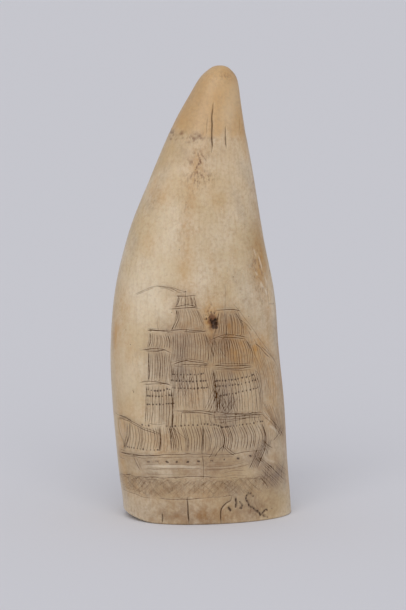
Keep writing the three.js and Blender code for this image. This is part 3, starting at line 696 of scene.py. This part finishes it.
# Stains on the face: across, up, reach across, reach up, strength
stains = {
    "warm": (
        (-3.8, 104, 2.2, 15, 0.5), (-4.6, 84, 3, 9, 0.35), (19.4, 86, 3.2, 10, 0.8),
        (22.4, 72, 2.6, 12, 0.5), (-28.5, 60, 3, 7, 0.75), (-27.5, 44, 3, 9, 0.35), (10, 64, 4.2, 4, 0.45),
        (11.8, 56.5, 3.6, 6, 0.7), (3.2, 69.5, 3, 4.4, 0.95), (-25.4, 29.6, 2, 4.6, 0.8),
        (23.6, 46, 3.4, 9, 0.7), (22.6, 33, 3.6, 6, 0.5), (-1.8, 43, 2.6, 4, 0.4),
        (-0.8, 119, 3.4, 5.5, 0.35), (-13.4, 110, 5, 4, 0.3), (-24.4, 72, 4, 4, 0.25),
        (-16.2, 92, 5, 4, 0.25), (-4.6, 66, 4, 4, 0.25), (16.4, 58, 5, 4, 0.5), (-21, 38, 5, 4, 0.3),
        (-12, 28, 9, 4, 0.25), (-20.6, 11, 6, 3, 0.35), (0, 11, 16, 3, 0.3), (6, 3, 14, 3, 0.25),
        (24, 20, 4, 4, 0.35), (26, 60, 2, 20, 0.4), (27.5, 50, 3, 24, 0.3), (19, 56.5, 3.4, 5, 0.8),
        (12.5, 66, 3, 3.4, 0.8), (-27, 66, 5, 12, 0.5), (-26, 20, 4, 14, 0.4), (22, 104, 4, 14, 0.3),
        (0, 58, 14, 16, 0.2), (-24, 30, 7, 10, 0.2),
    ),
    "grey": (
        (-7.4, 50, 2.8, 5, 0.5), (7.6, 44, 4, 7, 0.5), (11, 35, 9, 3, 0.35), (-14.6, 55, 4, 5, 0.28),
        (24, 14.8, 5, 4.2, 0.88), (-2.5, 60, 5, 5, 0.2), (18.8, 21.6, 2.6, 4, 0.6),
        (21.4, 24.4, 2.4, 3.4, 0.5), (8.6, 40, 3.4, 3.6, 0.4), (-6.6, 58, 1.8, 7, 0.7), (8.6, 11, 5, 3, 0.4),
        (-13, 11, 8, 3, 0.25), (9.6, 52, 1.6, 8, 0.35), (1, 29, 12, 6, 0.25), (24.8, 30, 3, 6, 0.4),
        (27, 24, 4, 12, 0.4), (-0.2, 118, 2.4, 4.5, 0.12), (12, 28, 14, 8, 0.25), (-1, 45, 10, 9, 0.2),
    ),
    "patina": (
        (-4, 60, 9, 12, 0.42), (10, 58, 8, 13, 0.36), (4, 44, 17, 10, 0.14), (10, 28, 16, 9, 0.16),
        (-14, 50, 5, 14, 0.04), (0, 20, 25, 4.2, 0.62), (1, 3, 13, 5.5, 0.82), (-16, 3, 9, 5, 0.36),
        (20, 5, 9, 6, 0.46), (27.5, 48, 4.5, 34, 0.5), (19.5, 86, 5, 12, 0.4), (0, 122, 11, 5, 0.17),
        (18, 103, 6, 14, 0.14), (22, 46, 6, 14, 0.28), (0, 12.4, 26, 3.4, 0.3), (9, 66, 5, 5, 0.36),
        (12, 148, 5, 3, 0.3), (-3, 137, 5, 8, 0.18), (2, 92, 14, 20, 0.12), (8.2, 59.5, 2.4, 4.5, 0.5),
        (3.2, 61.6, 2.4, 1.6, 0.5), (24, 14, 5, 4, 0.45), (18.6, 22, 2.6, 4, 0.3), (-4.8, 102, 1.8, 9, 0.14),
        (4.6, 66.9, 1.5, 2.3, 0.4), (20, 52, 4, 8, 0.12),
    ),
    # Paler where hands have rubbed most, and in the wide patches on the upper left, painted light where the
    # light falls from the left
    "rubbedAndLit": (
        (-25, 54, 12, 18, 0.28), (-13, 98, 7, 14, 0.22), (14, 80, 4, 6, 0.1), (-8, 84, 4, 6, 0.08),
        (-16, 112, 6, 4, 0.12), (10, 138, 4, 9, 0.26), (-18, 79, 8, 10, 0.24), (21.5, 24, 2.2, 2.6, 0.3),
        (20.4, 20, 2, 1.4, 0.3), (-25.4, 29, 3, 5, 0.4),
    ),
    "grit": (
        (-0.6, 119.6, 2.8, 3.6, 1), (1.4, 113.6, 3.2, 2.2, 1), (-2.6, 116, 3.4, 7, 0.55),
        (8, 146.5, 6, 2, 0.6), (-2, 127.6, 6.5, 1.6, 0.6), (18.6, 84, 2.8, 7, 1), (20.6, 76, 1.6, 6, 0.8),
        (2.6, 71.2, 2.2, 2.6, 0.9), (3.4, 62.4, 1.6, 1.6, 0.7), (-15.6, 106.6, 0.9, 1.2, 0.9),
        (-5.6, 98, 2.4, 12, 0.35), (-24.6, 28.6, 2.4, 5.6, 0.25), (17.6, 4.4, 5, 3.4, 0.7),
        (8.4, 3.4, 3, 3, 0.4), (-3.6, 41.4, 1.6, 2.4, 0.9), (-3.4, 62, 7, 4, 0.35), (5.4, 70.6, 3, 3, 0.5),
        (-4.6, 77, 8, 3, 0.25), (12.2, 57, 4, 5, 0.5), (-14, 52, 4, 8, 0.3), (-21, 53.6, 2, 4, 0.5),
        (18, 58, 5, 4, 0.3), (2, 12, 20, 4, 0.4), (-20, 12, 6, 4, 0.5),
    ),
}

print("tooth: relief")
height = grid[:, :, 2]
warm = softPatches(stains["warm"]) * (0.55 + 0.9 * cloudNoise(grid, (3, 3, 7), 11)) * onWall
grey = softPatches(stains["grey"]) * (0.55 + 0.9 * cloudNoise(grid, 2.6, 12)) * onWall
grit = softPatches(stains["grit"]) * onWall
sheared = grid + 0.4 * grid[:, :, ::-1]     # for clouds that do not line up with the tooth
haze = haze * (0.5 + cloudNoise(sheared, (3, 3, 7), 16)) * 1.04
# Scraped lines, rubbed wear and painted light on the upper left, all laid in one pale colour
scrapedAndLit = scrapedAndLit + softPatches(stains["rubbedAndLit"]) * onWall
patina = softPatches(stains["patina"]) * (0.75 + 0.5 * cloudNoise(grid, (5, 5, 9), 15)) * onWall
warm += onWall * 0.3 * easeBetween(0.62, 0.86, cloudNoise(sheared, (9, 9, 22), 13))
grey += onWall * 0.26 * easeBetween(0.6, 0.9, cloudNoise(sheared, (6, 6, 12), 14))

# The outer layer has worn away above a ragged line near the tip, and the dentine stands a little lower
raggedLine = 128.4 - 0.09 * around
raggedLine = raggedLine + 3.4 * (cloudNoise(grid, 3.4, 21) - 0.5) + 1.6 * (cloudNoise(grid, 1.1, 22) - 0.5)
dentine = 0.64 * easeBetween(-1.9, 1.6, height - raggedLine) + 0.36 * easeBetween(90, 131, height)
dentine *= (0.78 + 0.44 * cloudNoise(grid, (4, 4, 7), 24)) * onWall
brokenEdge = easeBetween(0.42, 0.62, cloudNoise(grid, (1.3, 1.3, 0.8), 23))
brokenEdge = brokenEdge * (0.2 + 0.8 * easeBetween(5, 1, around))
raggedEdge = np.exp(-((height - raggedLine + 1.0) / 0.8) ** 2) * brokenEdge * onWall

# The decayed spot, a ragged bowl with deeper holes
spotAway = np.hypot(*awayFrom(*decaySpot["middle"], *decaySpot["reach"]))
spot = easeBetween(1.1, 0.5, spotAway + 0.7 * (cloudNoise(grid, 0.9, 31) - 0.5)) * onWall
holes = np.zeros(around.shape)
for x, z, reach in decaySpot["holes"]:
    across, up = awayFrom(x, z, reach, reach)
    holes = np.maximum(holes, np.exp(-(across**2 + up**2)) * onWall)
soil = np.clip(np.maximum.reduce([0.5 * crack, worm, holes]), 0, 1)

# How far the surface lies below the plain form, in mm
relief = 0.34 * cloudNoise(grid, (17, 17, 30), 41) + 0.10 * cloudNoise(grid, (5, 5, 14), 42)
relief += 0.05 * cloudNoise(grid, (1.6, 1.6, 26), 43)
relief += 0.16 * dentine + 0.10 * raggedEdge
relief += 0.12 * ink + 0.2 * easeBetween(0.2, -0.1, pricked) + 0.6 * np.clip(crack, 0, 1) + 0.4 * worm
relief += 0.35 * spot + decaySpot["depth"] * holes * spot
relief *= onWall * easeBetween(0.0, 1.2, path[:, None] + 0.2)
drum = [9 * np.cos(angles) + 0 * height, 9 * np.sin(angles) + 0 * height, height / 9]
wrinkle = cloudNoise(np.stack(drum, axis=2), 1.1, 51)
relief += (kind[:, None] == 0) * 0.7 * (wrinkle - 0.5) * easeBetween(0, 5, height)
relief *= 1 - 0.999 * easeBetween(toothForm["height"] - 1.5, toothForm["height"], height)


# Unit vectors out of the surface: the cross product of the steps round the ring and along the rows
def outward(points):
    ringStep = np.roll(points, -1, axis=1) - np.roll(points, 1, axis=1)
    rowStep = np.gradient(points, axis=0)
    normal = np.cross(ringStep, rowStep)
    return normal / (np.linalg.norm(normal, axis=2, keepdims=True) + 1e-9)


shaped = grid - relief[:, :, None] * outward(grid)
shaped[:, :, 2] = np.maximum(shaped[:, :, 2], 0)

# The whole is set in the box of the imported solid, which differs from the relief's own box by a hair
low, high = shaped.reshape(-1, 3).min(0), shaped.reshape(-1, 3).max(0)
low[2], high[2] = 0, toothForm["height"]
boxLow, boxHigh = (np.array(corner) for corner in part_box("tooth"))
inFrame = lambda points: boxLow + (points - low) / (high - low) * (boxHigh - boxLow)


# One closed skin from rows whose stride may double or halve: quads between like rows, five-sided faces
# where one row has twice as many points as the next, and a fan at each end
def skin(rowCount, columnCount):
    number = np.full((rowCount, columnCount), -1)
    start = 1
    for row in range(rowCount):
        used = columnCount // stride[row]
        number[row, ::stride[row]] = np.arange(start, start + used)
        start += used
    faces = []
    for row in range(rowCount - 1):
        lowStep, highStep = stride[row], stride[row + 1]
        wide = max(lowStep, highStep)
        left = np.arange(0, columnCount, wide)
        right = (left + wide) % columnCount
        middle = left + wide // 2
        ringLow, ringHigh = number[row], number[row + 1]
        if lowStep == highStep:
            corners = [ringLow[left], ringLow[right], ringHigh[right], ringHigh[left]]
        elif lowStep < highStep:
            corners = [ringLow[left], ringLow[middle], ringLow[right], ringHigh[right], ringHigh[left]]
        else:
            corners = [ringLow[left], ringLow[right], ringHigh[right], ringHigh[middle], ringHigh[left]]
        faces += np.stack(corners, axis=1).tolist()
    first, last = number[0, ::stride[0]], number[-1, ::stride[-1]]
    faces += np.stack([np.zeros_like(first), np.roll(first, -1), first], axis=1).tolist()
    faces += np.stack([last, np.roll(last, -1), np.full_like(last, start)], axis=1).tolist()
    return number, faces


number, faces = skin(*around.shape)
kept = number >= 0
poles = np.array([[*cavitySections(np.array([toothForm["cavityHeight"]]))[0, :2], toothForm["cavityHeight"]],
                  [*wallSections(np.array([toothForm["height"]]))[0, :2], toothForm["height"]]])
vertices = inFrame(np.concatenate([poles[:1], shaped[kept], poles[1:]]))
toothSkin = bpy.data.meshes.new("engraved_tooth")
toothSkin.from_pydata(vertices.tolist(), [], faces)
toothSkin.shade_smooth()
marks = {
    "pricked": pricked, "haze": haze, "patina": patina, "rust": spot, "soil": soil, "scrapedAndLit": scrapedAndLit,
    "warm": warm, "grey": grey, "grit": grit, "dentine": dentine, "edge": raggedEdge,
    "sawn": (kind == 1)[:, None] + 0 * around, "hollow": (kind == 0)[:, None] + 0 * around,
    "inset": np.maximum(0, -path)[:, None] + 0 * around,
}
strokeMarks = {
    "aside_low": sides[:, :, :3], "press_low": presses[:, :, :3],
    "aside_high": sides[:, :, 3:], "press_high": presses[:, :, 3:],
}
for name, values in (marks | strokeMarks).items():
    isVector = values.ndim == 3
    layer = toothSkin.attributes.new(name, "FLOAT_VECTOR" if isVector else "FLOAT", "POINT")
    points = np.concatenate([values[:1, 0], values[kept], values[-1:, 0]]).astype(np.float32)
    layer.data.foreach_set("vector" if isVector else "value", points.ravel())
tooth = bpy.data.objects.new("engraved_tooth", toothSkin)
bpy.context.scene.collection.objects.link(tooth)
print("tooth:", len(vertices), "points,", sum(len(face) - 2 for face in faces), "triangles")


# A colour written as sRGB hex, as the linear values that the shaders take
def linear(code, alpha=1.0):
    parts = [int(code[i:i + 2], 16) / 255 for i in (1, 3, 5)]
    return (*(p / 12.92 if p <= 0.04045 else ((p + 0.055) / 1.055) ** 2.4 for p in parts), alpha)


# Adds one node, sets its properties, gives its inputs a value or links them to the output of another, and
# returns the output that is asked for
def addNode(tree, kind, output, inputs, settings=None):
    node = tree.nodes.new("ShaderNode" + kind)
    for name, value in (settings or {}).items():
        setattr(node, name, value)
    for key, value in inputs.items():
        if isinstance(value, bpy.types.NodeSocket):
            tree.links.new(value, node.inputs[key])
        else:
            node.inputs[key].default_value = value
    return node.outputs[output] if node.outputs else node


perMetre = lambda size: 1000 / size         # the scale of a pattern whose features are this many mm

# The finish of the ivory: colours as a camera sees them, sizes in mm
ivoryFinish = {
    "pale": "#dfcdb0",
    "aged": "#cdb58d",
    "fibre": "#b89a72",
    "fleck": "#a88560",
    "crackle": "#8f7455",
    "grit": "#6f4826",
    "rust": "#6f4220",
    "patina": "#6c431a",
    "warm": "#c08c40",
    "grey": "#84766a",
    "dentine": "#c9a069",
    "haze": "#84592e",
    "ink": "#4c2d10",
    "soil": "#3e2512",
    # the pale of scraped lines and rubbed wear, and of the painted light and painted highlights
    "scrapedAndLit": "#ecdfc6",
    "sawn": "#cdb993",
    "hollow": "#8b6c48",
    "cloudSize": 16,
    "patchSize": 11,           # of the areas that have flecks and crackle
    "fibreWidth": 0.9,
    "fleckSize": 2.2,
    "speckleSize": 1.1,
    "pitSize": 0.9,
    "chatterSize": 0.7,        # the skips of the graver along a stroke
    "crackleSize": 2.6,
    "crackleBend": 1.7,
    "crackleShare": 0.0012,    # how much of the bend goes into the crackle
    "ringRate": 5.2,           # radians of the growth rings' wave for each mm in from the rim
    "sawPitch": 1.1,
    "sawTurn": 0.35,           # radians
    "roughness": 0.43,
    "dullest": 0.8,            # the roughness of dirt and of the sawn root
    "gloss": 0.45,             # of the polish, down to none in the soot of a full stroke
    "ior": 1.54,
    "bumpDepth": 0.06,
}


# Whale ivory: cementum over dentine, rubbed smooth by hand and handled for a long time. It gives the eye a
# soft low gloss, warm clouds, fine fibres along the tooth, and lamp black and dirt held in every cut.
def polishedIvory():
    material = bpy.data.materials.new("polished whale ivory, engraved and aged")
    material.use_nodes = True
    tree = material.node_tree
    tree.nodes.clear()
    place = addNode(tree, "TexCoord", "Object", {})

    # An attribute of the mesh, as a number or as a vector
    def attribute(name, output="Fac"):
        return addNode(tree, "Attribute", output, {}, {"attribute_name": name})

    # One step of arithmetic on numbers
    def maths(operation, *terms, clamp=False):
        return addNode(tree, "Math", 0, dict(enumerate(terms)), {"operation": operation, "use_clamp": clamp})

    # One step of arithmetic on vectors
    def vectorMaths(operation, *terms, output="Vector"):
        return addNode(tree, "VectorMath", output, dict(enumerate(terms)), {"operation": operation})

    # A value carried in a straight line from one span to another, and held at its ends
    def spread(value, low=0.0, high=1.0, toLow=0.0, toHigh=1.0):
        ends = {"From Min": low, "From Max": high, "To Min": toLow, "To Max": toHigh}
        return addNode(tree, "MapRange", "Result", {"Value": value, **ends})

    # Clouds whose features have the named size
    def clouds(size, detail=2.0, roughness=0.5, at=place, output="Fac"):
        return addNode(tree, "TexNoise", output, {
            "Vector": at, "Scale": perMetre(ivoryFinish[size]), "Detail": detail, "Roughness": roughness})

    # The named colour laid over another by a share
    def laid(share, under, name):
        colours = {6: under, 7: linear(ivoryFinish[name])}
        return addNode(tree, "Mix", 2, {0: share, **colours}, {"data_type": "RGBA"})

    # A stroke is (1 - side^2)^2 times its press, and the pale painted highlight on its ridges is (1 - side^2
    # / 7)^2 less the stroke
    mark = {name: attribute(name) for name in marks}
    strokeShare, ridgeHighlightShare = [], []
    for part in ("low", "high"):
        aside, press = attribute("aside_" + part, "Vector"), attribute("press_" + part, "Vector")
        squared = vectorMaths("MULTIPLY", aside, aside)
        for share, fall in ((strokeShare, 1.0), (ridgeHighlightShare, 1 / 7)):
            left = vectorMaths("MULTIPLY_ADD", squared, (-fall,) * 3, (1, 1, 1))
            left = vectorMaths("MAXIMUM", left, (0, 0, 0))
            bell = vectorMaths("MULTIPLY", left, left)
            share.append(vectorMaths("DOT_PRODUCT", bell, press, output="Value"))
    stroke = maths("ADD", *strokeShare)
    ridgeHighlight = maths("SUBTRACT", maths("ADD", *ridgeHighlightShare), stroke, clamp=True)
    stroke = maths("MULTIPLY", stroke, spread(clouds("chatterSize"), 0.34, 0.56, toLow=0.72))
    prick = spread(mark["pricked"], 0.1, -0.06)
    cloud = clouds("cloudSize", 4.0, 0.55)
    colour = laid(spread(cloud, 0.36, 0.66), linear(ivoryFinish["pale"]), "aged")

    # Fibres run up the tooth, drawn out forty times their width
    fibres = clouds("fibreWidth", 3.0, at=vectorMaths("MULTIPLY", place, (1, 1, 0.025)))
    fibreShare = spread(fibres, 0.5, 0.78, toHigh=0.42)

    # Flecks and the fine crackle of the outer layer, each only here and there
    patchy = spread(clouds("patchSize"), 0.42, 0.68)
    flecks = clouds("fleckSize", 5.0, 0.7)
    fleckShare = maths("MULTIPLY", spread(flecks, 0.52, 0.72, toHigh=0.45), patchy)
    bend = clouds("crackleBend", output="Color")
    bentPlace = addNode(tree, "Mix", 1, {
        0: ivoryFinish["crackleShare"], 4: place, 5: bend}, {"data_type": "VECTOR"})
    cells = addNode(tree, "TexVoronoi", "Distance", {
        "Vector": bentPlace, "Scale": perMetre(ivoryFinish["crackleSize"])}, {"feature": "DISTANCE_TO_EDGE"})
    crackle = maths("MULTIPLY", spread(cells, 0.0, 0.055, 0.14, 0.0), patchy)
    speckle = spread(clouds("speckleSize", 3.0, 0.65), 0.44, 0.7, toHigh=0.3)

    # Stains sit in the pores, so they are broken up by the flecks, and rust-brown grit fills single pits
    mottle = spread(flecks, 0.36, 0.64, 0.62, 1.22)
    for name in ("warm", "grey", "patina"):
        mark[name] = maths("MULTIPLY", mark[name], mottle)
    pits = clouds("pitSize", 3.0, 0.6, at=vectorMaths("MULTIPLY", place, (1, 1, 0.45)))
    mark["grit"] = maths("MULTIPLY", spread(pits, 0.5, 0.64), mark["grit"])

    # Growth rings and saw lines of the cut root
    waves = maths("SINE", maths("MULTIPLY", mark["inset"], ivoryFinish["ringRate"]))
    rings = spread(waves, -0.2, 1.0, toHigh=0.22)
    sawPlace = addNode(tree, "Mapping", 0, {"Vector": place, "Rotation": (0, 0, ivoryFinish["sawTurn"])})
    sawLines = addNode(tree, "TexWave", "Fac", {
        "Vector": sawPlace, "Scale": perMetre(ivoryFinish["sawPitch"]) / 6.28 * 2,
        "Distortion": 1.6, "Detail": 3.0, "Detail Scale": 0.4}, {"bands_direction": "X"})

    # Each layer tints what lies under it by its mark or pattern times a strength
    layers = (
        (mark["dentine"], "dentine", 0.78),
        (mark["patina"], "patina", 1.0),
        (fibreShare, "fibre", 1.0),
        (fleckShare, "fleck", 1.0),
        (crackle, "crackle", 1.0),
        (speckle, "fleck", 1.0),
        (mark["edge"], "grit", 0.75),
        (mark["warm"], "warm", 0.72),
        (mark["grey"], "grey", 0.7),
        (mark["sawn"], "sawn", 0.7),
        (mark["hollow"], "hollow", 0.75),
        (mark["haze"], "haze", 1.25),
        (mark["rust"], "rust", 0.85),
        (mark["grit"], "grit", 0.68),
        (mark["scrapedAndLit"], "scrapedAndLit", 0.7),
        # Painted highlight: the ridges beside every cut are laid paler
        (ridgeHighlight, "scrapedAndLit", 0.26),
        (stroke, "ink", 0.9),
        (prick, "soil", 0.85),
        (mark["soil"], "soil", 0.95),
    )
    for share, tint, strength in layers:
        colour = laid(maths("MULTIPLY", share, strength, clamp=True), colour, tint)
    colour = laid(maths("MULTIPLY", rings, mark["sawn"]), colour, "fleck")

    # Dirt and sawn surfaces are duller than the polish, which the clouds vary a little
    dull = maths("MAXIMUM", maths("MAXIMUM", mark["soil"], mark["sawn"]), mark["hollow"])
    rough = spread(dull, toLow=ivoryFinish["roughness"], toHigh=ivoryFinish["dullest"])
    rough = maths("SUBTRACT", maths("MULTIPLY_ADD", cloud, 0.16, rough), 0.08, clamp=True)

    # The bump is fibres and flecks, less the crackle and the strokes, and the saw lines of the root
    grain = maths("SUBTRACT", maths("MULTIPLY_ADD", fibres, 0.6, flecks), crackle)
    sawRelief = maths("MULTIPLY", sawLines, mark["sawn"])
    height = maths("MULTIPLY_ADD", sawRelief, 1.5, maths("SUBTRACT", grain, stroke))
    bump = addNode(tree, "Bump", "Normal", {
        "Height": height, "Distance": ivoryFinish["bumpDepth"] / 1000, "Strength": 0.7})
    shader = addNode(tree, "BsdfPrincipled", "BSDF", {
        "Base Color": colour, "Roughness": rough, "Normal": bump, "IOR": ivoryFinish["ior"],
        "Specular IOR Level": spread(stroke, toLow=ivoryFinish["gloss"], toHigh=0.0),
        "Subsurface Weight": 0.12, "Subsurface Radius": (1.0, 0.62, 0.35), "Subsurface Scale": 0.0016
        }, {"subsurface_method": "RANDOM_WALK"})
    addNode(tree, "OutputMaterial", 0, {"Surface": shader})
    return material


print("tooth: ivory")
toothSkin.materials.append(polishedIvory())
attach(tooth, "root")
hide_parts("tooth")

# The floor, the light and the camera
studio = {
    "floor": "#dedee3",
    "floorReach": 30.0,
    "room": "#c6c7cc",
    "roomStrength": 0.9,
    "keyStrength": 1.3,
    "keyAngle": 55,            # degrees, the spread of the light, which softens the shadow
    "keyFrom": (-0.25, -1.0, 0.85),
    "azimuth": -9.0,
    "elevation": 8.0,
    "lens": 200.0,
    "pixelsPerMetre": 3013.0,  # of the 406 x 610 picture, at the middle of the tooth
    "aim": (0.0005, 0.0706),   # what the middle of the picture looks at: across the view, and up
}


# A wide floor of matt paper
def paperFloor():
    reach = studio["floorReach"]
    corners = [(-reach, -reach, 0), (reach, -reach, 0), (reach, reach, 0), (-reach, reach, 0)]
    mesh = bpy.data.meshes.new("floor")
    mesh.from_pydata(corners, [], [(0, 1, 2, 3)])
    material = bpy.data.materials.new("matt paper")
    material.use_nodes = True
    shader = material.node_tree.nodes["Principled BSDF"]
    shader.inputs["Base Color"].default_value = linear(studio["floor"])
    shader.inputs["Roughness"].default_value = 0.9
    shader.inputs["Specular IOR Level"].default_value = 0.1
    mesh.materials.append(material)
    floor = bpy.data.objects.new("floor", mesh)
    bpy.context.scene.collection.objects.link(floor)


# An even grey room, and one wide soft light from the front and a little from the left
def softLight():
    world = bpy.data.worlds.new("studio")
    world.use_nodes = True
    background = world.node_tree.nodes["Background"]
    background.inputs["Color"].default_value = linear(studio["room"])
    background.inputs["Strength"].default_value = studio["roomStrength"]
    bpy.context.scene.world = world
    key = bpy.data.lights.new("key", "SUN")
    key.energy = studio["keyStrength"]
    key.angle = math.radians(studio["keyAngle"])
    key.color = (1.0, 0.985, 0.96)
    lamp = bpy.data.objects.new("key", key)
    lamp.rotation_euler = Vector(studio["keyFrom"]).to_track_quat("Z", "Y").to_euler()
    bpy.context.scene.collection.objects.link(lamp)


# The camera stands where the photograph's scale comes out: distance = picture height * lens / sensor / scale
def cameraForPicture(pictureHeight=610, sensor=36.0):
    data = bpy.data.cameras.new("camera")
    data.lens = studio["lens"]
    data.sensor_width = sensor
    camera = bpy.data.objects.new("camera", data)
    turn, rise = math.radians(studio["azimuth"]), math.radians(studio["elevation"])
    back = Vector((math.sin(turn) * math.cos(rise), -math.cos(turn) * math.cos(rise), math.sin(rise)))
    right = Vector((math.cos(turn), math.sin(turn), 0))
    aim = right * studio["aim"][0] + Vector((0, 0, studio["aim"][1]))
    distance = pictureHeight * studio["lens"] / sensor / studio["pixelsPerMetre"]
    camera.location = aim + back * distance
    camera.rotation_euler = back.to_track_quat("Z", "Y").to_euler()
    bpy.context.scene.collection.objects.link(camera)
    bpy.context.scene.camera = camera


print("studio")
paperFloor()
softLight()
cameraForPicture()
bpy.context.scene.view_settings.view_transform = "Standard"
